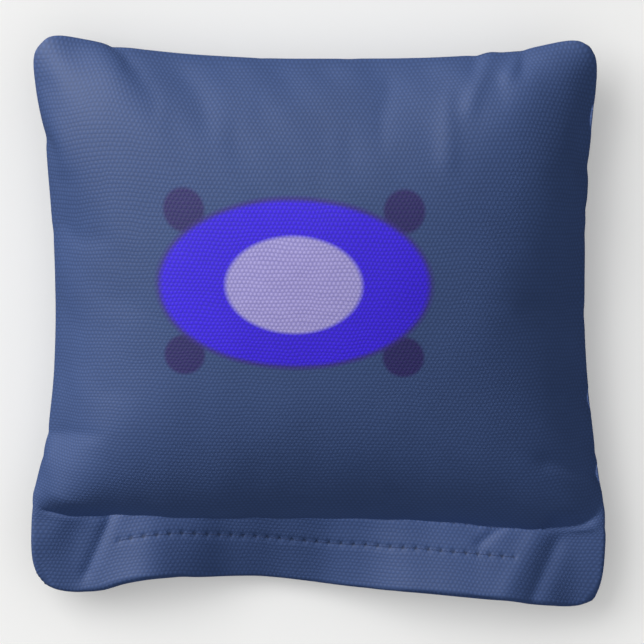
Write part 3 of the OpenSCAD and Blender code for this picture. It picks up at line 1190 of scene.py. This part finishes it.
@dataclass
class KernelFill:
    """The loose dried kernels that fill the bag."""

    form: BagForm
    length: float = 8.8
    breadth: float = 7.2
    depth: float = 4.6
    pitch: float = 7.6
    layer_pitch: float = 7.2
    cloth_gap: float = 5.2
    touch: float = 0.4
    allowance_gap: float = 5.0
    allowance_margin: float = 3.0
    side_limit: float = 0.97
    jitter: float = 0.5
    size_range: tuple[float, float] = (0.88, 1.08)
    seed: int = 11

    def places(self) -> np.ndarray:
        """Lays the kernels out, in layers between the two panels.

        Returns:
            The kernels' middles, in mm.
        """
        cut, form = self.form.cut, self.form
        rng = np.random.default_rng(self.seed)
        skin = np.concatenate([sheet[::3, ::3].reshape(-1, 3) for sheet in form.closure.values()])
        cloth = KDTree(len(skin))
        for k, point in enumerate(skin):
            cloth.insert(point, k)
        cloth.balance()
        spots = []
        across = int(cut.width / self.pitch)
        along = int(cut.body_length / self.pitch)
        for a in range(1, across):
            for b in range(1, along):
                u = 2 * (a + 0.5 * (b % 2)) / across - 1
                w = 2 * b / along - 1
                if abs(u) > self.side_limit:
                    continue
                i = int(round((u + 1) / 2 * cut.columns))
                j = cut.flange_rows + int(np.argmin(np.abs(form.w - w)))
                top = form.closure[Side.FRONT][i, j]
                low = form.closure[Side.BACK][i, j]
                gap = float(np.linalg.norm(top - low)) - 2 * self.cloth_gap
                layers = int(gap / self.layer_pitch) + 1 if gap > 0 else 0
                edge = min(1 - abs(u), 1 - abs(w)) * cut.width / 2
                for k in range(layers):
                    share = 0.5 if layers == 1 else k / (layers - 1)
                    inner = (self.cloth_gap + share * gap) / (gap + 2 * self.cloth_gap)
                    middle_distance = abs(inner - 0.5) * (gap + 2 * self.cloth_gap)
                    by_seam = edge < cut.seam_allowance + self.allowance_margin
                    if by_seam and middle_distance < self.allowance_gap:
                        continue
                    moved = rng.uniform(-self.jitter, self.jitter, 3)
                    spot = low + (top - low) * inner + moved
                    if cloth.find(spot)[2] > self.cloth_gap - self.touch:
                        spots.append(spot)
        return np.array(spots)

    def kernel(self) -> tuple[np.ndarray, list[list[int]]]:
        """Shapes one kernel: a flat tooth, narrow at its tip.

        Returns:
            Its points in mm, and its faces.
        """
        rings, sides = 6, 8
        points = [(0.0, 0.0, -0.5)]
        for r in range(1, rings):
            angle = math.pi * r / rings
            for s in range(sides):
                around = 2 * math.pi * s / sides
                girth = math.sin(angle) ** 0.8 * (0.72 - 0.28 * math.cos(angle))
                points.append((girth * math.cos(around) * 0.5, girth * math.sin(around) * 0.5,
                               -0.5 * math.cos(angle)))
        points.append((0.0, 0.0, 0.42))
        scaled = np.array(points) * np.array([self.breadth, self.depth, self.length])
        faces: list[list[int]] = [[0, 1 + (s + 1) % sides, 1 + s] for s in range(sides)]
        for r in range(rings - 2):
            base = 1 + r * sides
            faces += [[base + s, base + (s + 1) % sides, base + sides + (s + 1) % sides,
                       base + sides + s] for s in range(sides)]
        last = 1 + (rings - 2) * sides
        faces += [[last + s, last + (s + 1) % sides, len(points) - 1] for s in range(sides)]
        return scaled, faces

    def build(self, name: str) -> bpy.types.Object:
        """Makes the heap of kernels as one piece, with each kernel's tone and tip stored.

        Args:
            name: Name of the piece.

        Returns:
            The piece.
        """
        rng = np.random.default_rng(self.seed + 1)
        shape, pattern = self.kernel()
        points, faces, tones, tips = [], [], [], []
        for spot in self.places():
            axes, _ = np.linalg.qr(rng.normal(size=(3, 3)))
            if np.linalg.det(axes) < 0:
                axes[:, 0] = -axes[:, 0]
            size = rng.uniform(*self.size_range)
            start = len(points) * len(shape)
            points.append(spot + size * shape @ axes.T)
            faces.extend([[start + v for v in face] for face in pattern])
            tones.extend([rng.uniform()] * len(shape))
            tips.extend((0.5 - shape[:, 2] / self.length).tolist())
        made = mesh_object(name, np.concatenate(points) * MM, np.array(faces, dtype=object))
        for label, values in (("kernel_tone", tones), ("kernel_tip", tips)):
            made.data.attributes.new(label, "FLOAT", "POINT").data.foreach_set("value", values)
        return made


# ---- Finishes ----


def linear(colour: str, alpha: float = 1.0) -> tuple[float, float, float, float]:
    """Turns an sRGB hex colour into the linear values that Blender's nodes take.

    Args:
        colour: The colour, such as #3A5182.
        alpha: Its opacity.

    Returns:
        Red, green, blue and alpha.
    """
    parts = [int(colour[k:k + 2], 16) / 255 for k in (1, 3, 5)]
    values = [p / 12.92 if p <= 0.04045 else ((p + 0.055) / 1.055) ** 2.4 for p in parts]
    return (values[0], values[1], values[2], alpha)


class Graph:
    """A material's node tree, with one helper that adds a node with its settings and links."""

    def __init__(self, name: str) -> None:
        """Makes a node material with nothing but its output.

        Args:
            name: Name of the material.
        """
        self.material = bpy.data.materials.new(name)
        self.material.use_nodes = True
        self.tree = self.material.node_tree
        self.tree.nodes.clear()
        self.output = self.tree.nodes.new("ShaderNodeOutputMaterial")

    def add(self, kind: str, inputs: dict | None = None, out: int | str = 0,
            **settings: object) -> bpy.types.NodeSocket:
        """Adds a node.

        Args:
            kind: Node type without its "ShaderNode" start.
            inputs: Values or output sockets by input name or number.
            out: Which output socket to return.
            settings: Properties of the node.

        Returns:
            The chosen output socket of the new node.
        """
        node = self.tree.nodes.new("ShaderNode" + kind)
        for label, value in settings.items():
            setattr(node, label, value)
        for label, value in (inputs or {}).items():
            socket = node.inputs[label]
            if isinstance(value, bpy.types.NodeSocket):
                self.tree.links.new(value, socket)
            else:
                socket.default_value = value
        return node.outputs[out]

    def finish(self, shader: bpy.types.NodeSocket) -> bpy.types.Material:
        """Links the shader to the output and returns the material."""
        self.tree.links.new(shader, self.output.inputs["Surface"])
        return self.material


@dataclass(frozen=True)
class Oval:
    """A printed oval in cut millimetres: its middle, half width, half height and colour."""

    x: float
    y: float
    half_width: float
    half_height: float
    colour: str
    cover: float = 0.94


@dataclass(frozen=True)
class Emblem:
    """A plain symmetrical printed emblem: an oval with a rim, a pale middle and four roundels."""

    x: float = -6.2
    y: float = 76.2
    half_width: float = 35.8
    half_height: float = 21.6
    rim: float = 0.55
    middle_share: float = 0.5
    middle_rise: float = 1.15
    roundel_radius: float = 5.4
    roundel_place: tuple[float, float] = (0.80, 0.86)
    field: str = "#3A18EC"
    rim_colour: str = "#3B2C8E"
    middle: str = "#AEA6D9"
    roundel: str = "#2E2366"

    def ovals(self) -> list[Oval]:
        """Lays out the emblem.

        Returns:
            Its ovals, from the lowest to the topmost layer of ink.
        """
        reach_x = self.half_width * self.roundel_place[0]
        reach_y = self.half_height * self.roundel_place[1]
        made = [
            Oval(self.x + sx * reach_x, self.y + sy * reach_y, self.roundel_radius,
                 self.roundel_radius, self.roundel)
            for sx in (-1, 1) for sy in (-1, 1)
        ]
        made.append(Oval(self.x, self.y, self.half_width + self.rim, self.half_height + self.rim,
                         self.rim_colour))
        made.append(Oval(self.x, self.y, self.half_width - self.rim, self.half_height - self.rim,
                         self.field))
        made.append(Oval(self.x, self.y, self.half_width * self.middle_share,
                         self.half_height * self.middle_share * self.middle_rise, self.middle))
        return made


@dataclass(frozen=True)
class CottonDuck:
    """Piece-dyed cotton duck, a heavy plain weave: pebbled and matt, paler where light grazes it."""

    name: str = "cotton_duck_piece_dyed_navy"
    dye: str = "#3A5182"
    rib_pitch: float = 0.98
    pick_pitch: float = 1.12
    relief: float = 0.06
    roughness: float = 0.7
    specular: float = 0.8
    wander: float = 1.6
    pebble: float = 0.45
    # Colour factors for painted shade in the gaps between yarns and painted light on the yarn tops.
    painted_gap_shade: float = 0.82
    painted_top_light: float = 1.12
    painted_hole_shade: float = 0.5
    # Colour factor for painted shade in the needle holes.
    ink_edge: float = 0.5
    wander_per_mm: float = 0.11
    cloud_per_mm: float = 0.045
    slub_per_mm: tuple[float, float, float] = (0.16, 1.17, 0.0)
    slub_share: float = 0.45
    emblem: Emblem | None = None

    def material(self) -> bpy.types.Material:
        """Builds the material from the weave's own sizes on the cut cloth.

        Returns:
            The material.
        """
        g = Graph(self.name if self.emblem is None else self.name + "_printed")
        uv = g.add("UVMap", uv_map=CUT_MAP)
        cloth = g.add("VectorMath", {0: uv, 1: (CUT_MAP_SPAN,) * 3}, operation="MULTIPLY")
        centred = g.add("VectorMath", {0: cloth, 1: (CUT_MAP_SPAN / 2,) * 3}, operation="SUBTRACT")
        # Yarns wander by a fraction of their pitch, as they do in a heavy cloth.
        wander = g.add("TexNoise", {"Vector": centred, "Scale": self.wander_per_mm,
                                   "Detail": 2.0}, out="Color")
        shift = g.add("VectorMath", {0: wander, 1: (0.5,) * 3}, operation="SUBTRACT")
        moved = g.add("VectorMath", {0: shift, 1: (self.wander, self.wander, 0.0), 2: centred},
                      operation="MULTIPLY_ADD")
        x = g.add("SeparateXYZ", {0: moved}, out="X")
        y = g.add("SeparateXYZ", {0: moved}, out="Y")
        row = g.add("Math", {0: y, 1: self.rib_pitch}, operation="DIVIDE")
        number = g.add("Math", {0: row}, operation="FLOOR")
        within = g.add("Math", {0: row}, operation="FRACT")
        turn = g.add("Math", {0: within, 1: math.pi}, operation="MULTIPLY")
        rib = g.add("Math", {0: turn}, operation="SINE")
        # Each row's floats lie half a pitch along from the next row's, as in any plain weave.
        pick = g.add("Math", {0: x, 1: self.pick_pitch}, operation="DIVIDE")
        staggered = g.add("Math", {0: number, 1: 0.5, 2: pick}, operation="MULTIPLY_ADD")
        around = g.add("Math", {0: staggered, 1: 2 * math.pi}, operation="MULTIPLY")
        wave = g.add("Math", {0: around}, operation="COSINE")
        pebble = g.add("Math", {0: wave, 1: self.pebble, 2: 1.0 - self.pebble},
                       operation="MULTIPLY_ADD")
        crossing = g.add("Math", {0: rib, 1: pebble}, operation="MULTIPLY")
        # Slubs: thick and thin places along each weft yarn.
        stretched = g.add("VectorMath", {0: centred, 1: self.slub_per_mm}, operation="MULTIPLY")
        slub = g.add("TexNoise", {"Vector": stretched, "Scale": 1.0, "Detail": 3.0}, out="Fac")
        height = g.add("Math", {0: slub, 1: self.slub_share, 2: crossing}, operation="MULTIPLY_ADD")
        # Painted shade between the yarns and painted light on their tops, and uneven take-up of the
        # dye.
        depth = g.add("MapRange", {0: height, 1: 0.2, 2: 1.1, 3: self.painted_gap_shade, 4: self.painted_top_light})
        cloud = g.add("TexNoise", {"Vector": centred, "Scale": self.cloud_per_mm,
                                  "Detail": 4.0}, out="Fac")
        uneven = g.add("MapRange", {0: cloud, 1: 0.3, 2: 0.7, 3: 0.95, 4: 1.05})
        yarn_shade_and_dye = g.add("Math", {0: depth, 1: uneven}, operation="MULTIPLY")
        # The needle holes darken the colour with painted shade.
        tone = g.add("Math", {0: yarn_shade_and_dye, 1: self.holes(g, centred)}, operation="MULTIPLY")
        ink = self.inked(g, centred, height)
        shaded = g.add("VectorMath", {0: ink, "Scale": tone}, operation="SCALE")
        normal = g.add("Bump", {"Height": height, "Distance": self.relief * MM, "Strength": 1.0})
        return g.finish(g.add("BsdfPrincipled", {
            "Base Color": shaded,
            "Roughness": self.roughness,
            "Specular IOR Level": self.specular,
            "Normal": normal,
        }))

    def holes(self, g: Graph, cloth: bpy.types.NodeSocket) -> bpy.types.NodeSocket:
        """Paints shade into the needle holes of the closing rows.

        Args:
            g: The material's graph.
            cloth: Places on the cut cloth, in mm.

        Returns:
            A factor for the colour, below 1 in a hole, where shade is painted.
        """
        cut = Cut()
        x = g.add("SeparateXYZ", {0: cloth}, out="X")
        y = g.add("SeparateXYZ", {0: cloth}, out="Y")
        nearest = g.add("Math", {0: x, 1: cut.stitch / 2}, operation="PINGPONG")
        apart = g.add("Math", {0: x}, operation="ABSOLUTE")
        past = g.add("Math", {0: apart, 1: cut.row_reach}, operation="SUBTRACT")
        ended = g.add("Math", {0: past, 1: 0.0}, operation="MAXIMUM")
        shades = []
        for row in (cut.lower_row, cut.upper_row):
            level = cut.flange_depth * (row / cut.flange_rows - 1)
            beside = g.add("Math", {0: y, 1: level}, operation="SUBTRACT")
            spot = g.add("CombineXYZ", {0: nearest, 1: beside, 2: ended})
            away = g.add("VectorMath", {0: spot}, out="Value", operation="LENGTH")
            shades.append(g.add("MapRange", {0: away, 1: 0.3, 2: 0.8, 3: self.painted_hole_shade, 4: 1.0}))
        return g.add("Math", {0: shades[0], 1: shades[1]}, operation="MULTIPLY")

    def inked(self, g: Graph, cloth: bpy.types.NodeSocket,
              height: bpy.types.NodeSocket) -> bpy.types.NodeSocket | tuple[float, ...]:
        """Lays the emblem's ink over the dye.

        Args:
            g: The material's graph.
            cloth: Places on the cut cloth, in mm.
            height: How far the yarns stand up.

        Returns:
            The colour socket, or the dye's plain colour where nothing is printed.
        """
        colour = linear(self.dye)
        if self.emblem is None:
            return colour[:3]
        # Ink sits on the tops of the yarns and is thinner in the gaps between them.
        take = g.add("MapRange", {0: height, 1: 0.2, 2: 0.7, 3: 0.82, 4: 1.0})
        for oval in self.emblem.ovals():
            away = g.add("VectorMath", {0: cloth, 1: (oval.x, oval.y, 0.0)}, operation="SUBTRACT")
            scaled = g.add("VectorMath", {
                0: away, 1: (1 / oval.half_width, 1 / oval.half_height, 0.0)}, operation="MULTIPLY")
            reach = g.add("VectorMath", {0: scaled}, out="Value", operation="LENGTH")
            edge = self.ink_edge / oval.half_height
            mask = g.add("MapRange", {0: reach, 1: 1 + edge, 2: 1 - edge, 3: 0.0, 4: oval.cover})
            amount = g.add("Math", {0: mask, 1: take}, operation="MULTIPLY")
            colour = g.add("Mix", {0: amount, 6: colour, 7: linear(oval.colour)}, out=2,
                           data_type="RGBA")
        return colour


@dataclass(frozen=True)
class SpunThread:
    """Spun polyester sewing thread, dyed to match: matt, with a slight gloss on its fibres."""

    name: str = "spun_polyester_thread_navy"
    dye: str = "#35456D"
    fibre: float = 0.12
    roughness: float = 0.75
    specular: float = 0.3
    sheen: float = 0.15

    def material(self) -> bpy.types.Material:
        """Builds the material from the size of a fibre bundle.

        Returns:
            The material.
        """
        g = Graph(self.name)
        # One fibre is about 0.015 mm thick, too fine to show, so bundles of them are drawn.
        place = g.add("TexCoord", out="Object")
        fibres = g.add("TexNoise", {"Vector": place, "Scale": 1 / (self.fibre * MM) / 4,
                                    "Detail": 4.0}, out="Fac")
        tone = g.add("MapRange", {0: fibres, 1: 0.3, 2: 0.7, 3: 0.8, 4: 1.15})
        shaded = g.add("VectorMath", {0: linear(self.dye)[:3], "Scale": tone}, operation="SCALE")
        normal = g.add("Bump", {"Height": fibres, "Distance": self.fibre * MM / 4, "Strength": 0.8})
        return g.finish(g.add("BsdfPrincipled", {
            "Base Color": shaded, "Roughness": self.roughness,
            "Specular IOR Level": self.specular, "Sheen Weight": self.sheen, "Normal": normal}))


@dataclass(frozen=True)
class DriedCorn:
    """Dried maize kernels: a hard waxy skin, golden on the crown and pale at the tip."""

    name: str = "dried_maize_kernel"
    crown: str = "#D79B2E"
    deep: str = "#B5701C"
    tip: str = "#E9DDBB"
    roughness: float = 0.42
    coat: float = 0.15
    wrinkles_per_metre: float = 900.0
    wrinkle_depth: float = 0.2

    def material(self) -> bpy.types.Material:
        """Builds the material from each kernel's stored tone and tip.

        Returns:
            The material.
        """
        g = Graph(self.name)
        tone = g.add("Attribute", out="Fac", attribute_name="kernel_tone")
        end = g.add("Attribute", out="Fac", attribute_name="kernel_tip")
        body = g.add("Mix", {0: tone, 6: linear(self.crown), 7: linear(self.deep)}, out=2,
                     data_type="RGBA")
        share = g.add("MapRange", {0: end, 1: 0.72, 2: 0.98, 3: 0.0, 4: 1.0})
        colour = g.add("Mix", {0: share, 6: body, 7: linear(self.tip)}, out=2, data_type="RGBA")
        place = g.add("TexCoord", out="Object")
        wrinkle = g.add("TexNoise", {"Vector": place, "Scale": self.wrinkles_per_metre,
                                     "Detail": 3.0}, out="Fac")
        normal = g.add("Bump", {"Height": wrinkle, "Distance": self.wrinkle_depth * MM,
                                 "Strength": 0.6})
        return g.finish(g.add("BsdfPrincipled", {
            "Base Color": colour, "Roughness": self.roughness, "Coat Weight": self.coat,
            "Normal": normal}))


@dataclass(frozen=True)
class PaleFloor:
    """A matt painted board under the bag."""

    name: str = "matt_white_board"
    paint: str = "#F2F2F1"
    roughness: float = 0.9
    specular: float = 0.1

    def material(self) -> bpy.types.Material:
        """Builds the plain matt material.

        Returns:
            The material.
        """
        g = Graph(self.name)
        return g.finish(g.add("BsdfPrincipled", {
            "Base Color": linear(self.paint), "Roughness": self.roughness,
            "Specular IOR Level": self.specular}))


# ---- Studio ----


@dataclass(frozen=True)
class SoftLight:
    """One square soft light: where it stands, in degrees and metres, its size and its power."""

    name: str
    azimuth: float
    elevation: float
    distance: float
    size: float
    power: float
    glossy: bool = True

    def place(self, lit: list[bpy.types.Object], stopped: list[bpy.types.Object] | None) -> None:
        """Adds the light to the scene, turned toward the bag.

        Args:
            lit: The only objects that it lights.
            stopped: The only objects that stop it, or None where everything does.
        """
        around, above = math.radians(self.azimuth), math.radians(self.elevation)
        toward = Vector((math.cos(around) * math.cos(above), math.sin(around) * math.cos(above),
                         math.sin(above)))
        light = bpy.data.lights.new(self.name, "AREA")
        light.size = self.size
        light.energy = self.power
        lamp = bpy.data.objects.new(self.name, light)
        lamp.location = toward * self.distance
        lamp.rotation_euler = toward.to_track_quat("Z", "Y").to_euler()
        lamp.visible_glossy = self.glossy
        bpy.context.scene.collection.objects.link(lamp)
        linking = lamp.light_linking
        linking.receiver_collection = self.group("lit", lit)
        if stopped is not None:
            linking.blocker_collection = self.group("stopped", stopped)

    def group(self, label: str, members: list[bpy.types.Object]) -> bpy.types.Collection:
        """Makes a collection, outside the scene, for light linking.

        Args:
            label: What the light does to its members.
            members: The objects that it holds.

        Returns:
            The collection.
        """
        made = bpy.data.collections.new(f"{self.name}_{label}")
        for piece in members:
            made.objects.link(piece)
        return made


@dataclass(frozen=True)
class Studio:
    """Plain floor, soft light from the upper left, an even soft fill all round and the camera."""

    floor_size: float = 3.0
    camera_height: float = 1.2
    seam_level: float = 0.0165
    view_width: float = 0.1695
    view_x: float = 0.00145
    view_y: float = 0.0
    sky: float = 0.12
    cloth_key: SoftLight = SoftLight("cloth_key", 136.0, 25.0, 1.6, 0.6, 25.0)
    cloth_fill: SoftLight = SoftLight("cloth_fill", 39.0, 30.0, 1.6, 0.4, 4.9, glossy=False)
    fill_lights: int = 4
    floor_key: SoftLight = SoftLight("floor_key", 146.0, 52.0, 1.6, 1.2, 11.4)
    floor_fill: SoftLight = SoftLight("floor_fill", 129.0, 90.0, 1.2, 3.0, 24.3)

    def build(self) -> None:
        """Makes the floor, the lights and the camera."""
        half = self.floor_size / 2
        corners = np.array([(-half, -half, 0), (half, -half, 0), (half, half, 0), (-half, half, 0)])
        floor = mesh_object("floor", corners, np.array([(0, 1, 2, 3)]))
        floor.data.materials.append(PaleFloor().material())
        world = bpy.data.worlds.new("studio")
        bpy.context.scene.world = world
        world.use_nodes = True
        sky = world.node_tree.nodes["Background"]
        sky.inputs["Color"].default_value = (1.0, 1.0, 1.0, 1.0)
        sky.inputs["Strength"].default_value = self.sky
        # Gloss comes from the key light alone, as it does in front of a dark studio wall.
        world.cycles_visibility.glossy = False
        floor.visible_glossy = False
        floor.visible_diffuse = False
        bag = [o for o in bpy.context.scene.objects
               if o.type == "MESH" and not o.hide_render and o is not floor]
        # Only the floor stops the cloth's lights, so the filled body doesn't shade its own flange.
        self.cloth_key.place(bag, [floor])
        for k in range(self.fill_lights):
            turned = self.cloth_fill.azimuth + 360.0 * k / self.fill_lights
            replace(self.cloth_fill, azimuth=turned).place(bag, [floor])
        self.floor_key.place([floor], None)
        self.floor_fill.place([floor], [floor])
        self.camera()

    def camera(self) -> None:
        """Makes the camera, straight above the bag."""
        lens = bpy.data.cameras.new("camera")
        lens.sensor_width = 36.0
        lens.lens = lens.sensor_width * self.camera_height / self.view_width
        lens.clip_end = 10.0
        camera = bpy.data.objects.new("camera", lens)
        camera.location = (self.view_x, self.view_y, self.camera_height + self.seam_level)
        bpy.context.scene.collection.objects.link(camera)
        bpy.context.scene.camera = camera
        bpy.context.scene.view_settings.view_transform = "Standard"


# ---- The whole bag ----

FLANGE_FOLDS = (
    Fold((-54.5, 1.5), (-61.5, -14.5), 2.2, -0.85),
    Fold((-67.0, 2.0), (-73.0, -5.0), 4.0, 0.5),
    Fold((49.5, -0.5), (44.0, -5.5), 1.5, -0.6),
    Fold((58.0, -3.5), (51.5, -17.0), 2.6, 0.5),
    Fold((64.0, -4.0), (58.0, -19.0), 2.6, -0.9),
)

DOG_EARS = (DogEar(-1, 54.0, 0.0, 4.3), DogEar(1, 57.0, 1.0, 8.5))

FRONT_FOLDS = (
    Fold((-71.0, 3.6), (-57.0, 0.4), 1.8, -0.7),
    Fold((71.0, 6.6), (61.0, 1.6), 1.8, -0.7),
    Fold((46.0, 134.0), (41.0, 121.0), 2.4, 0.55),
    Fold((54.5, 134.0), (51.5, 128.0), 2.0, 0.45),
    Fold((35.0, 122.0), (34.0, 108.0), 2.6, 0.4),
    Fold((77.0, 44.0), (66.0, 46.5), 2.0, -0.6),
    Fold((77.0, 21.0), (60.0, 27.0), 2.6, -0.8),
    Fold((77.0, 119.0), (70.0, 112.0), 2.4, -0.7),
)


def dress(piece: bpy.types.Object, material: bpy.types.Material, node: str) -> None:
    """Gives a piece its finish and place in the frame, and logs it.

    Args:
        piece: The piece.
        material: Its finish.
        node: The CAD node that it stands for.
    """
    piece.data.materials.append(material)
    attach(piece, BODY)
    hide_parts(node)
    LOG.info("%s: %d faces, %s", piece.name, len(piece.data.polygons), material.name)


def build_panels(form: BagForm) -> None:
    """Args:
        form: The closed bag's form.
    """
    plain = CottonDuck().material()
    printed = CottonDuck(emblem=Emblem()).material()
    for side, name, folds, material in (
            (Side.FRONT, "front_panel", FRONT_FOLDS, printed),
            (Side.BACK, "back_panel", (), plain)):
        panel = CanvasPanel(form, side, "canvas_" + name)
        piece = panel.build(folds)
        dress(piece, material, name)
        LOG.info("%s: flat area %.0f square mm", piece.name, panel.flat_area)


def build_threads(form: BagForm) -> None:
    """Makes the closing rows on the flange and the seam rows inside the bag.

    Args:
        form: The closed bag's form.
    """
    spun = SpunThread().material()
    cut = form.cut
    rows = (
        ClosingRow(form, cut.upper_row, "closing_upper"),
        ClosingRow(form, cut.lower_row, "closing_lower"),
        SeamRow(form, 1.8, "seam_outer"),
        SeamRow(form, 4.6, "seam_inner"),
    )
    for row in rows:
        for side in Side:
            dress(row.build(side), spun, f"{row.label}_{side.thread}_thread")


def main() -> None:
    """Builds the bag, its filling and the studio."""
    logging.basicConfig(level=logging.INFO, format="%(name)s: %(message)s")
    cut = Cut()
    form = BagForm(cut, Outline(), Sag(), Flange(), DOG_EARS)
    form.build(Inflation(cut).run(), FLANGE_FOLDS)
    fill = KernelFill(form).build(FILLING)
    dress(fill, DriedCorn().material(), "bean_fill")
    build_panels(form)
    build_threads(form)
    Studio().build()


if __name__ == "__main__":
    main()
